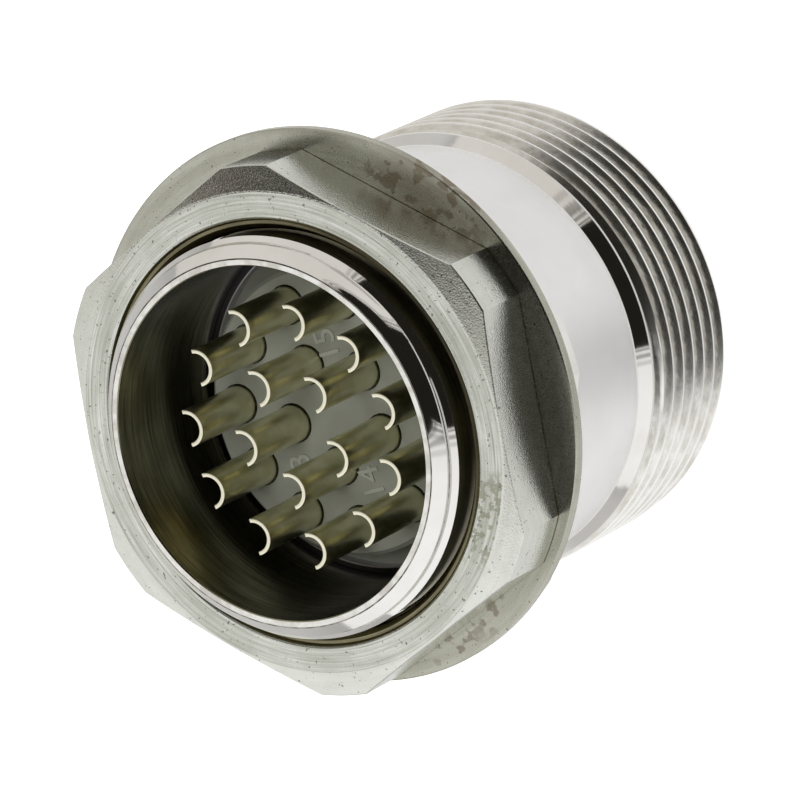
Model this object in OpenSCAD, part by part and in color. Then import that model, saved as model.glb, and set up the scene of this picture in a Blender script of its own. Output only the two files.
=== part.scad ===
// Panel-mount circular signal connector with sixteen solder-cup pin contacts.
// The part stands on its coupling end. +Z runs along the axis to the solder
// side, and the origin lies on the axis in the shell's panel face, where the
// washer and the panel bear on the hexagonal shoulder. +X runs through
// contact 10, the single contact on the insert's line of symmetry.
// Lengths are in millimetres and angles in degrees.

/* [Shell: solder side] */
// Height of the tube's rim above the panel face
rear_len = 5.9; // [5.5:0.1:8]
// Bore of the tube round the solder cups
rear_bore_d = 17.5; // [16.8:0.1:17.8]
// Diameter of the rim below its bevel, where the thread's lead-in starts
pilot_d = 19.8; // [19.2:0.1:19.9]
// Height of the smooth land between the bevel and the lead-in
pilot_len = 0.1; // [0.05:0.05:1.5]
// Radial width of the bevel on the rim
rim_bevel_w = 0.8; // [0.2:0.05:0.9]
// Height of the bevel on the rim
rim_bevel_h = 0.6; // [0.2:0.05:1]
// Major diameter of the nut's thread
nut_thread_d = 21; // [20.8:0.1:22]
// Pitch of the nut's thread
nut_thread_pitch = 1; // [0.75:0.05:1.2]

/* [Shell: shoulder and body] */
// Width across the shoulder's flats
shoulder_af = 24; // [23:0.1:26]
// Turned diameter over the shoulder's corners
shoulder_corner_d = 26.3; // [25:0.1:27]
// Thickness of the shoulder
shoulder_t = 2; // [1.2:0.1:4]
// Diameter of the plain body
body_d = 21.6; // [21:0.1:22.4]
// Length of the plain body
body_len = 8.1; // [7:0.1:16]
// Wide end of the flared collar behind the coupling thread
collar_d = 22.6; // [22.4:0.1:23]
// Length of that collar
collar_len = 1; // [0.5:0.1:2]

/* [Shell: coupling end] */
// Major diameter of the coupling thread
coupling_d = 23; // [22.5:0.1:24]
// Pitch of the coupling thread
coupling_pitch = 1; // [0.75:0.05:1.5]
// Length of the coupling thread
coupling_len = 7.1; // [5:0.1:10]
// Bore that takes the mating plug
socket_d = 18.8; // [18:0.1:19.4]
// Bevel at the mouth of that bore
socket_bevel = 0.4; // [0.1:0.05:0.6]
// Width of the coding rib in the bore
rib_w = 1.8; // [1:0.1:3]
// Height of the coding rib
rib_h = 0.9; // [0.5:0.1:1.4]
// Distance from the mouth to the end of the coding rib
rib_setback = 3; // [1:0.1:5]

/* [Shell: seat of the insert] */
// Depth of the insert's seat below the panel face
seat_depth = 5.2; // [4.6:0.1:6]
// Thickness of the lip that carries the insert
lip_t = 1; // [0.6:0.1:1.6]
// Clear diameter inside the lip
lip_d = 15.4; // [15:0.1:16]
// Width of the tab that stops the insert turning
tab_w = 1.6; // [1:0.1:2.2]
// Height of that tab
tab_h = 0.8; // [0.4:0.1:0.9]

/* [Nut] */
// Width across the nut's flats
nut_af = 24; // [23:0.1:27]
// Turned diameter over the nut's corners
nut_corner_d = 26.3; // [25:0.1:27]
// Thickness of the nut
nut_t = 3.5; // [2.5:0.1:5]
// Slope of the bevel that cuts the corners
nut_bevel_deg = 15; // [10:1:35]
// Radial width of the countersink at each end of the thread
nut_sink = 0.3; // [0.1:0.05:0.6]
// Angle of one corner of the nut from +X, as left by the spanner
nut_angle = 20; // [0:1:59]

/* [Washer] */
// Outer diameter of the washer
washer_d = 27.6; // [26:0.1:32]
// Hole of the washer
washer_hole_d = 22.2; // [22.1:0.05:23]
// Thickness of the washer
washer_t = 0.6; // [0.4:0.05:1.2]
// Distance that the loose washer has slipped off the axis
washer_slip = 0.4; // [0:0.05:0.45]
// Direction of that slip from +X
washer_slip_deg = 64; // [0:1:359]

/* [Insert] */
// Diameter of the boss that carries the solder cups
boss_d = 14.6; // [14.2:0.1:15.2]
// Height of the boss above its flange
boss_h = 2.6; // [1.6:0.1:3]
// Bevel on the boss's edge
boss_bevel = 0.2; // [0.05:0.05:0.4]
// Thickness of the flange on the rear half
rear_flange_t = 1.2; // [0.8:0.1:2]
// Thickness of the flange on the front half
front_flange_t = 1.3; // [0.8:0.1:2]
// Length of the spigot that passes through the lip
spigot_len = 1.6; // [1:0.1:2.4]
// Diameter of the dimple round each solder cup
dimple_d = 2.2; // [2.1:0.05:2.6]
// Depth of that dimple
dimple_depth = 0.35; // [0.3:0.05:1.2]

/* [Retaining ring] */
// Clear diameter inside the ring
ring_id = 16.8; // [15.6:0.1:17]
// Diameter of the ring's groove in the shell
groove_d = 18.2; // [18:0.1:18.8]
// Thickness of the ring
ring_t = 0.6; // [0.4:0.05:1]
// Gap between the ring's ends
ring_gap = 3; // [1:0.1:6]

/* [Contacts] */
// Pitch circle of the outer contacts
outer_pcd = 11.4; // [11.2:0.05:11.6]
// Pitch circle of the inner contacts
inner_pcd = 5.45; // [5:0.05:5.6]
// Diameter of the mating pins
pin_d = 1; // [0.8:0.05:1.2]
// Length of the pins beyond the insert's front face
pin_len = 6.4; // [5:0.1:8]
// Diameter of the shank that carries each pin in the insert's front half
shank_d = 1.4; // [1.25:0.05:1.7]
// Diameter of the collar trapped between the insert's halves
bead_d = 2.4; // [2.2:0.05:2.6]
// Thickness of that collar
bead_t = 1; // [0.6:0.1:1.4]
// Outer diameter of the solder cups
cup_d = 1.85; // [1.6:0.05:2]
// Bore of the solder cups
cup_bore_d = 1.45; // [1.1:0.05:1.5]
// Height of the cups above the insert's boss
cup_len = 4.6; // [3.5:0.1:5.4]
// Depth of the bore in a cup
cup_depth = 4; // [3:0.1:4.5]
// Length of the half that is cut away
scoop_len = 3.4; // [2:0.1:3.4]

/* [Clearances] */
// Radial clearance between the nut and the shell's thread
thread_clear = 0.1; // [0.05:0.01:0.15]
// Radial clearance round the insert
insert_clear = 0.05; // [0.02:0.01:0.1]
// Radial clearance round each contact
contact_clear = 0.05; // [0.02:0.01:0.08]
// Clearance round the retaining ring in its groove
ring_clear = 0.05; // [0.02:0.01:0.1]

/* [Hidden] */
$fn = 96;
OUTER = 11;
INNER = 5;
FIRST_OUTER_DEG = 720 / OUTER;
FIRST_INNER_DEG = 180;

// A plain cylinder stands for each thread. The nut's thread is drawn at its
// pitch diameter, so that nut and shell run with the clearance between flanks,
// and the coupling thread at its major diameter, which a gauge would measure.
PITCH_DROP = 0.6495;
ROOT_DROP = 1.2269;
nut_thread_r = (nut_thread_d - PITCH_DROP * nut_thread_pitch) / 2;
nut_thread_z = rear_len - rim_bevel_h - pilot_len;
coupling_root_r = (coupling_d - ROOT_DROP * coupling_pitch) / 2;

// Heights along the axis, from the panel face
shoulder_z = -shoulder_t;
collar_z = shoulder_z - body_len;
coupling_z = collar_z - collar_len;
front_z = coupling_z - coupling_len;
seat_z = -seat_depth;
lip_z = seat_z - lip_t;
split_z = seat_z + front_flange_t;
flange_z = split_z + rear_flange_t;
boss_z = flange_z + boss_h;
face_z = seat_z - spigot_len;
tip_z = boss_z + cup_len;
pin_z = face_z - pin_len;
nut_z = washer_t;

flange_r = rear_bore_d / 2 - insert_clear;
spigot_r = lip_d / 2 - insert_clear;
bead_hole_d = bead_d + 2 * contact_clear;
nut_bore_r = nut_thread_r + thread_clear;

NICKEL = "#cfccc4";
DULL_NICKEL = "#b3b1a8";
RESIN = "#6b6d61";
GOLD = "#d9c48c";

// Place and serial order of the contacts: the outer ring carries 1 to 11,
// the inner ring goes on from there.
function contact_deg(n) = n <= OUTER
    ? FIRST_OUTER_DEG + (n - 1) * 360 / OUTER
    : FIRST_INNER_DEG + (n - OUTER - 1) * 360 / INNER;
function contact_r(n) = (n <= OUTER ? outer_pcd : inner_pcd) / 2;
function contact_at(n) = contact_r(n) * [cos(contact_deg(n)), sin(contact_deg(n))];

module at_contacts() {
    for (n = [1 : OUTER + INNER])
        translate(contact_at(n))
            children();
}

// A bar that starts at -X beyond the radius r_out and reaches in to r_in.
module inward_bar(r_in, r_out, w, z_low, z_high) {
    translate([-r_out, -w / 2, z_low])
        cube([r_out - r_in, w, z_high - z_low]);
}

// A hexagon with its corners turned to a land and bevelled at both ends.
// The bevel meets each end at a circle that touches the flats.
module turned_hexagon(af, corner_d, t, bevel_deg) {
    drop = (corner_d - af) / 2 * tan(bevel_deg);
    intersection() {
        cylinder(h = t, r = af / sqrt(3), $fn = 6);
        rotate_extrude()
            polygon([
                [0, 0],
                [af / 2, 0],
                [corner_d / 2, drop],
                [corner_d / 2, t - drop],
                [af / 2, t],
                [0, t]
            ]);
    }
}

// Outer form of the shell as one turned profile, closed on the axis.
module shell_turning() {
    lead = nut_thread_r - pilot_d / 2;
    runout = coupling_d / 2 - coupling_root_r;
    rotate_extrude()
        polygon([
            [0, rear_len],
            [pilot_d / 2 - rim_bevel_w, rear_len],
            [pilot_d / 2, rear_len - rim_bevel_h],
            [pilot_d / 2, nut_thread_z],
            [nut_thread_r, nut_thread_z - lead],
            [nut_thread_r, -shoulder_t / 2],
            [body_d / 2, -shoulder_t / 2],
            [body_d / 2, collar_z],
            [collar_d / 2, coupling_z],
            [coupling_d / 2, coupling_z],
            [coupling_d / 2, front_z + runout],
            [coupling_root_r, front_z],
            [0, front_z]
        ]);
}

// Everything bored out of the shell, as one turned profile.
module shell_bore() {
    rotate_extrude()
        polygon([
            [0, rear_len + 1],
            [rear_bore_d / 2, rear_len + 1],
            [rear_bore_d / 2, flange_z + ring_t + ring_clear],
            [groove_d / 2, flange_z + ring_t + ring_clear],
            [groove_d / 2, flange_z],
            [rear_bore_d / 2, flange_z],
            [rear_bore_d / 2, seat_z],
            [lip_d / 2, seat_z],
            [lip_d / 2, lip_z],
            [socket_d / 2, lip_z],
            [socket_d / 2, front_z + socket_bevel],
            [socket_d / 2 + socket_bevel, front_z],
            [socket_d / 2 + socket_bevel, front_z - 1],
            [0, front_z - 1]
        ]);
}

// Turned and milled shell: tube, thread and hexagonal shoulder on the solder
// side, plain body, flared collar and coupling thread on the other. The bore
// holds a lip for the insert, with one tab, and a coding rib for the plug.
module shell() {
    wall = (body_d - socket_d) / 4;
    color(NICKEL) {
        difference() {
            union() {
                shell_turning();
                translate([0, 0, shoulder_z])
                    turned_hexagon(shoulder_af, shoulder_corner_d, shoulder_t, nut_bevel_deg);
            }
            shell_bore();
        }
        inward_bar(lip_d / 2 - tab_h, socket_d / 2 + wall, tab_w, lip_z, seat_z);
        inward_bar(socket_d / 2 - rib_h, socket_d / 2 + wall, rib_w, front_z + rib_setback, lip_z);
    }
}

// Hexagonal panel nut, bevelled at both ends and countersunk round its thread.
module nut() {
    color(DULL_NICKEL)
        translate([0, 0, nut_z])
            difference() {
                rotate(nut_angle)
                    turned_hexagon(nut_af, nut_corner_d, nut_t, nut_bevel_deg);
                rotate_extrude()
                    polygon([
                        [0, -1],
                        [nut_bore_r + nut_sink, -1],
                        [nut_bore_r + nut_sink, 0],
                        [nut_bore_r, nut_sink],
                        [nut_bore_r, nut_t - nut_sink],
                        [nut_bore_r + nut_sink, nut_t],
                        [nut_bore_r + nut_sink, nut_t + 1],
                        [0, nut_t + 1]
                    ]);
            }
}

// Flat washer. Its hole is larger than the thread, so it hangs off the axis.
module washer() {
    color(DULL_NICKEL)
        translate(washer_slip * [cos(washer_slip_deg), sin(washer_slip_deg), 0])
            difference() {
                cylinder(h = washer_t, d = washer_d);
                translate([0, 0, -1])
                    cylinder(h = washer_t + 2, d = washer_hole_d);
            }
}

// Rear half of the insert: a flange under the retaining ring and a boss with
// one stepped hole for each contact.
module insert_rear() {
    color(RESIN)
        difference() {
            rotate_extrude()
                polygon([
                    [0, split_z],
                    [flange_r, split_z],
                    [flange_r, flange_z],
                    [boss_d / 2, flange_z],
                    [boss_d / 2, boss_z - boss_bevel],
                    [boss_d / 2 - boss_bevel, boss_z],
                    [0, boss_z]
                ]);
            at_contacts() {
                translate([0, 0, split_z - 1])
                    cylinder(h = 1 + bead_t / 2, d = bead_hole_d);
                translate([0, 0, split_z])
                    cylinder(h = boss_z - split_z + 1, d = cup_d + 2 * contact_clear);
                translate([0, 0, boss_z - dimple_depth])
                    cylinder(h = dimple_depth + 1, d = dimple_d);
            }
        }
}

// Front half of the insert: a flange on the lip, a slotted spigot through it,
// and a stepped hole for each contact's shank.
module insert_front() {
    slot_w = tab_w + 2 * insert_clear;
    slot_r = lip_d / 2 - tab_h - insert_clear;
    color(RESIN)
        difference() {
            rotate_extrude()
                polygon([
                    [0, face_z],
                    [spigot_r, face_z],
                    [spigot_r, seat_z],
                    [flange_r, seat_z],
                    [flange_r, split_z],
                    [0, split_z]
                ]);
            inward_bar(slot_r, spigot_r + 1, slot_w, face_z - 1, seat_z);
            at_contacts() {
                translate([0, 0, split_z - bead_t / 2])
                    cylinder(h = bead_t / 2 + 1, d = bead_hole_d);
                translate([0, 0, face_z - 1])
                    cylinder(h = split_z - face_z + 1, d = shank_d + 2 * contact_clear);
            }
        }
}

// Open spring ring in the shell's groove. It bears on the insert's flange.
module retaining_ring() {
    ring_r = groove_d / 2 - ring_clear;
    color(NICKEL)
        translate([0, 0, flange_z])
            difference() {
                cylinder(h = ring_t, r = ring_r);
                translate([0, 0, -1])
                    cylinder(h = ring_t + 2, d = ring_id);
                translate([0, -ring_gap / 2, -1])
                    cube([ring_r + 1, ring_gap, ring_t + 2]);
            }
}

// Turned contact: round-nosed pin on a thicker shank, collar, and a solder cup
// with its half on the -X side cut away down to a rounded heel.
module contact(n) {
    heel_r = cup_d / 2;
    heel_z = tip_z - scoop_len;
    color(GOLD)
        translate(contact_at(n))
            difference() {
                union() {
                    translate([0, 0, pin_z + pin_d / 2])
                        sphere(d = pin_d, $fn = 24);
                    translate([0, 0, pin_z + pin_d / 2])
                        cylinder(h = face_z - pin_z - pin_d / 2, d = pin_d, $fn = 24);
                    translate([0, 0, face_z])
                        cylinder(h = split_z - face_z, d = shank_d, $fn = 24);
                    translate([0, 0, split_z - bead_t / 2])
                        cylinder(h = bead_t, d = bead_d, $fn = 24);
                    translate([0, 0, split_z])
                        cylinder(h = tip_z - split_z, d = cup_d, $fn = 24);
                }
                translate([0, 0, tip_z - cup_depth])
                    cylinder(h = cup_depth + 1, d = cup_bore_d, $fn = 24);
                translate([-cup_d, -cup_d, heel_z + heel_r])
                    cube([cup_d, 2 * cup_d, scoop_len]);
                translate([-heel_r, cup_d, heel_z + heel_r])
                    rotate([90, 0, 0])
                        cylinder(h = 2 * cup_d, r = heel_r, $fn = 48);
            }
}

shell();
nut();
washer();
insert_rear();
insert_front();
retaining_ring();
contact(1);  // contact_01
contact(2);  // contact_02
contact(3);  // contact_03
contact(4);  // contact_04
contact(5);  // contact_05
contact(6);  // contact_06
contact(7);  // contact_07
contact(8);  // contact_08
contact(9);  // contact_09
contact(10);  // contact_10
contact(11);  // contact_11
contact(12);  // contact_12
contact(13);  // contact_13
contact(14);  // contact_14
contact(15);  // contact_15
contact(16);  // contact_16
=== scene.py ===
"""Looks of a sixteen-way circular panel connector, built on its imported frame.

Lengths are in millimetres until a mesh is made. The connector's axis is Z, the
solder side is up, and the shoulder's panel face lies at z = 0.
"""

import math

import bmesh
import bpy
import numpy as np
from mathutils import Matrix, Vector


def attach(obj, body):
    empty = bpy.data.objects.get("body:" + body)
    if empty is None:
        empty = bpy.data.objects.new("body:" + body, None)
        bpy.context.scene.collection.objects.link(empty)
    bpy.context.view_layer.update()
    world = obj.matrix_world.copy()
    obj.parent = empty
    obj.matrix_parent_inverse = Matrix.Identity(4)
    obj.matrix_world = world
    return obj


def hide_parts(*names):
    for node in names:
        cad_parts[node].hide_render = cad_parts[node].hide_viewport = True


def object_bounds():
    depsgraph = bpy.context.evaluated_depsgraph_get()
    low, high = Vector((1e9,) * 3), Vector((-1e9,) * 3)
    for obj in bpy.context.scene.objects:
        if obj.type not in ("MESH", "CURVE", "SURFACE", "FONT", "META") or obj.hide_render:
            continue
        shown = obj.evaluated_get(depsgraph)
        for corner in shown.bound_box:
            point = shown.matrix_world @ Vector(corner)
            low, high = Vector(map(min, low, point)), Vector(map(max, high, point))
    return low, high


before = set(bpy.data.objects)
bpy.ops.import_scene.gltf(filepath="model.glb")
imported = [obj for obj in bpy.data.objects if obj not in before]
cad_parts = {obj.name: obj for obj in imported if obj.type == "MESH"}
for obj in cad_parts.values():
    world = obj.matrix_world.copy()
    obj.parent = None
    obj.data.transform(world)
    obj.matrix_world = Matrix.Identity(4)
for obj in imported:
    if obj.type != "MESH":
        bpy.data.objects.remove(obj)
cad_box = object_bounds()

MM = 0.001
SCENE = bpy.context.scene

# Turned shell, from the solder end to the coupling end.
RIM_Z = 5.9
REAR_BORE_R = 8.75
RIM_FLAT_R = 9.1
RIM_BEVEL_R, RIM_BEVEL_Z = 9.68, 5.36
RIM_STEP_R, RIM_STEP_Z = 9.7, 5.15
RIM_FOOT_R, RIM_FOOT_Z = 10.0, 4.82
RIM_BEVEL_ROWS = 10
RIM_KNOCK_DEG, RIM_KNOCK_REACH_DEG = 35, 50
RIM_KNOCK_DROP, RIM_KNOCK_SWELL = 0.2, 0.12
SHOULDER_T = 2.0
BODY_R = 10.8
COLLAR_Z = (-10.3, -11.0)
COLLAR_R = 11.3
COUPLING_TOP_Z = -11.1
FRONT_Z = -18.2
SOCKET_R = 9.4
SOCKET_BEVEL = 0.4
LIP_FRONT_Z = -6.2
LIP_BACK_Z = -5.2
LIP_R = 7.7
GROOVE_R = 9.1
GROOVE_Z = (-2.7, -2.1)
RIB_W, RIB_H, RIB_Z = 1.8, 0.9, (-15.2, -6.2)
TAB_W, TAB_H = 1.6, 0.8
BAR_ROOT = 0.3

# How far corners are eased, the angle from which an edge stays sharp, and the
# step between the columns of a turned mesh.
TURNED_EDGE, PUNCHED_EDGE, MOULDED_EDGE = 0.05, 0.06, 0.01
BAR_EDGE, CUP_EDGE = 0.06, 0.03
TURNED_SHARP_DEG, THREAD_SHARP_DEG = 5, 8
BAR_SHARP_DEG, CONTACT_SHARP_DEG = 30, 35
COLUMN_STEP_DEG, LIP_STEP_DEG = 2.0, 6.0

# Threads: a metric profile with a pitch of 1 mm. The nut's has low crests.
PITCH = 1.0
# From the middle of a crest, in pitches: the flank starts and ends.
FLANK = (1 / 16, 3 / 8)
COUPLING_CREST_R, COUPLING_ROOT_R = 11.5, 10.887
NUT_CREST_R, NUT_ROOT_R = 10.22, 9.94
THREAD_PLAY = 0.1
COUPLING_CREST_Z = -11.565
NUT_CREST_Z = 0.65
NUT_THREAD_TOP_Z = 3.3
ROWS_PER_PITCH, THREAD_COLUMNS = 16, 180
SEAM = 0.002
# Each thread is a sleeve whose wall lies inside the core that carries it.
SLEEVE_INSET, CORE_INSET = 0.12, 0.08
COUPLING_CORE_R = COUPLING_ROOT_R - CORE_INSET
NUT_CORE_R = NUT_ROOT_R - CORE_INSET
NECK_LAP = 0.2
NECK_FOOT_Z = NUT_THREAD_TOP_Z - NECK_LAP
NUT_SLEEVE_INSET, NUT_SLEEVE_END = 0.3, 0.2
# Slopes at which the lower and the upper end of a thread are turned down.
COUPLING_LEADS, NUT_LEADS, NUT_INNER_LEADS = (1.0, 1.2), (1.0, 1.15), (1.0, 1.0)

# Hexagons of the shoulder and the nut.
HEX_FLAT_R = 12.0
HEX_CORNER_R = 13.15
HEX_FACE_R = 11.93
HEX_BEVEL = math.tan(math.radians(15))
NUT_Z = (0.6, 4.1)
NUT_CORNER_DEG = 20.0
NUT_BORE_R = 10.4
NUT_SINK_R = 10.5
NUT_SINK = 0.5
NUT_SINK_ROUND = 0.12

# Loose punched washer, slipped to one side.
WASHER_Z = (0.0, 0.6)
WASHER_R = 13.79
WASHER_HOLE_R = 11.1
SLIP, SLIP_DEG = 0.4, 64
WASHER_SLIP = (SLIP * math.cos(math.radians(SLIP_DEG)),
               SLIP * math.sin(math.radians(SLIP_DEG)))

# Contacts: a pin, a shank, a trapped collar and a scooped solder cup.
PIN_TIP_Z, PIN_TOP_Z = -13.2, -6.8
PIN_R, SHANK_R, BEAD_R, CUP_R, CUP_BORE_R = 0.5, 0.7, 1.2, 0.925, 0.725
BEAD_Z = (-4.4, -3.4)
CUP_TIP_Z, CUP_HEEL_Z, CUP_FLOOR_Z = 4.5, 1.1, 0.5
HEEL_FILLET = 0.5
SHANK_STEP, DRILL_POINT = 0.1, 0.3
NOSE_DEG = (20, 45, 70, 90)
CUP_BEND_Z = 0.9
CUP_EDGE_Z, CUP_EDGE_DEG = 0.4, 40
CUP_PALE_TIP = 0.04
CONTACT_COLUMNS = 72
CONTACT_TWIST_DEG, CONTACT_SEED = 4, 7
OUTER_COUNT, OUTER_R, OUTER_FIRST_DEG = 11, 5.7, 720 / 11
INNER_COUNT, INNER_R, INNER_FIRST_DEG = 5, 2.725, 180.0

# Boss of the insert: a lip round each cup, and the raised contact numbers.
BOSS_FACE_Z = -0.1
DIMPLE_R = 1.1
CUP_LIP_GAP, CUP_LIP_LAP, CUP_LIP_T, CUP_LIP_SINK = 0.08, 0.01, 0.3, 0.003
NUMBER_SIZE, NUMBER_RISE, NUMBER_EDGE, NUMBER_LIFT = 1.7, 0.035, 0.012, 0.02
NUMBERS = {"13": (-3.05, -2.3), "14": (0.65, -3.75), "15": (0.76, 3.28), "16": (-2.9, 2.1)}


# ---------------------------------------------------------------- materials

# Parts of a noise's range that the patterns use.
LINE_RANGE, PATCH_RANGE, CLOUD_RANGE = (0.3, 0.7), (0.35, 0.7), (0.3, 0.7)
STAIN_RANGE = (0.52, 0.58)
# Dull plate: its clouds, its stains and its pits.
CLOUD_SIZE, CLOUD_SHARE = 2.6, 0.45
STRAY_STAIN, STAIN_SHARE, SPOT_CORE = 0.08, 0.6, 0.35
PIT_SIZE, PIT_EDGE, PIT_SHARE, PIT_TONE = 0.2, 0.04, 0.7, "#565347"
# How far the tool's lines wander in one turn. Height counts more than radius in
# a line's place, so that faces, walls and bevels all show lines.
LINE_DRIFT, STAIN_DRIFT, HEIGHT_WEIGHT = 2.2, 5.0, 1.3
# Where the crest's painted highlight sets in below its top, and where the ring's painted
# edge highlight starts.
CREST_HIGHLIGHT_BLEND, RING_HIGHLIGHT_R = (0.12, 0.02), (8.42, 8.49)
# Moulded resin: its grain and its clouds.
GRAIN_SIZE, GRAIN_RELIEF, GRAIN_STRENGTH = 0.15, 0.01, 0.6
RESIN_CLOUD_SIZE, RESIN_CLOUD_RANGE = 2.5, (0.3, 0.75)
RESIN_ROUGHNESS, RESIN_IOR = (0.5, 0.7), 1.5


def rgb(code):
    """Linear colour of an sRGB hex value."""
    parts = [int(code[i:i + 2], 16) / 255 for i in (1, 3, 5)]
    return [v / 12.92 if v <= 0.04045 else ((v + 0.055) / 1.055) ** 2.4
            for v in parts] + [1.0]


def per_mm(size):
    """Pattern scale that repeats once in a size given in millimetres."""
    return 1 / (size * MM)


MATH, VECTOR, RANGE, MIX = ("ShaderNodeMath", "ShaderNodeVectorMath",
                            "ShaderNodeMapRange", "ShaderNodeMix")


def add(tree, kind, inputs=None, **settings):
    """Adds a node, sets what it is told and links what it is given."""
    node = tree.nodes.new(kind)
    for name, value in settings.items():
        setattr(node, name, value)
    for key, value in (inputs or {}).items():
        if isinstance(key, int):
            socket = node.inputs[key]
        else:
            socket = next(s for s in node.inputs if key in (s.identifier, s.name))
        if isinstance(value, bpy.types.Node):
            value = next(s for s in value.outputs if s.enabled)
        if isinstance(value, bpy.types.NodeSocket):
            tree.links.new(value, socket)
        else:
            socket.default_value = value
    return node


def new_material(name):
    """A material with an empty node tree; returns both."""
    material = bpy.data.materials.new(name)
    material.use_nodes = True
    material.node_tree.nodes.clear()
    return material, material.node_tree


def lathe_place(tree):
    """The point's place, its way round the axis, its radius and its height."""
    place = add(tree, "ShaderNodeTexCoord").outputs["Object"]
    flat = add(tree, VECTOR, {0: place, 1: (1, 1, 0)}, operation="MULTIPLY")
    around = add(tree, VECTOR, {0: flat}, operation="NORMALIZE").outputs["Vector"]
    radius = add(tree, VECTOR, {0: flat}, operation="LENGTH").outputs["Value"]
    height = add(tree, "ShaderNodeSeparateXYZ", {0: place}).outputs["Z"]
    return place, around, radius, height


def tool_marks(tree, around, radius, height, spacing, drift):
    """Fine lines that the tool leaves round the axis, a little uneven.

    Real ones, about 0.05 mm apart, are too fine to show, so they are drawn from
    0.1 to 0.4 mm apart.
    """
    along = add(tree, MATH, {0: height, 1: HEIGHT_WEIGHT, 2: radius},
                operation="MULTIPLY_ADD")
    line = add(tree, MATH, {0: along, 1: per_mm(spacing)}, operation="MULTIPLY")
    spot = add(tree, VECTOR, {
        0: around, 1: (drift, drift, 0), 2: add(tree, "ShaderNodeCombineXYZ", {2: line})},
        operation="MULTIPLY_ADD")
    return add(tree, "ShaderNodeTexNoise", {
        "Vector": spot.outputs["Vector"], "Scale": 1.0, "Detail": 2.0, "Roughness": 0.6})


def blotches(tree, place, size, part, detail=3.0):
    """Uneven patches of a size in millimetres, as a mask from 0 to 1."""
    noise = add(tree, "ShaderNodeTexNoise", {
        "Vector": place, "Scale": per_mm(size), "Detail": detail, "Roughness": 0.55})
    return add(tree, RANGE, {"Value": noise, "From Min": part[0], "From Max": part[1]},
               interpolation_type="SMOOTHSTEP")


def plated(name, light, shade, roughness, spacing, relief, patch=3.0, drift=1.2,
           tip=None):
    """Plate over a turned surface: mirror-like, with tool marks.

    A tip is a height in millimetres and the tone that the plate has above it.
    """
    material, tree = new_material(name)
    place, *lathe = lathe_place(tree)
    marks = tool_marks(tree, *lathe, spacing, drift)
    tone = add(tree, MIX, {
        "Factor_Float": blotches(tree, place, patch, PATCH_RANGE),
        "A_Color": rgb(light), "B_Color": rgb(shade)}, data_type="RGBA")
    if tip:
        above = add(tree, MATH, {0: lathe[-1], 1: tip[0] * MM}, operation="GREATER_THAN")
        tone = add(tree, MIX, {
            "Factor_Float": above, "A_Color": tone, "B_Color": rgb(tip[1])},
            data_type="RGBA")
    coat = add(tree, "ShaderNodeBsdfPrincipled", {
        "Base Color": tone, "Metallic": 1.0,
        "Roughness": add(tree, RANGE, {
            "Value": marks, "To Min": roughness[0], "To Max": roughness[1]}),
        "Normal": add(tree, "ShaderNodeBump", {
            "Strength": 1.0, "Distance": relief * MM, "Height": marks})})
    add(tree, "ShaderNodeOutputMaterial", {"Surface": coat})
    return material


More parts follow.
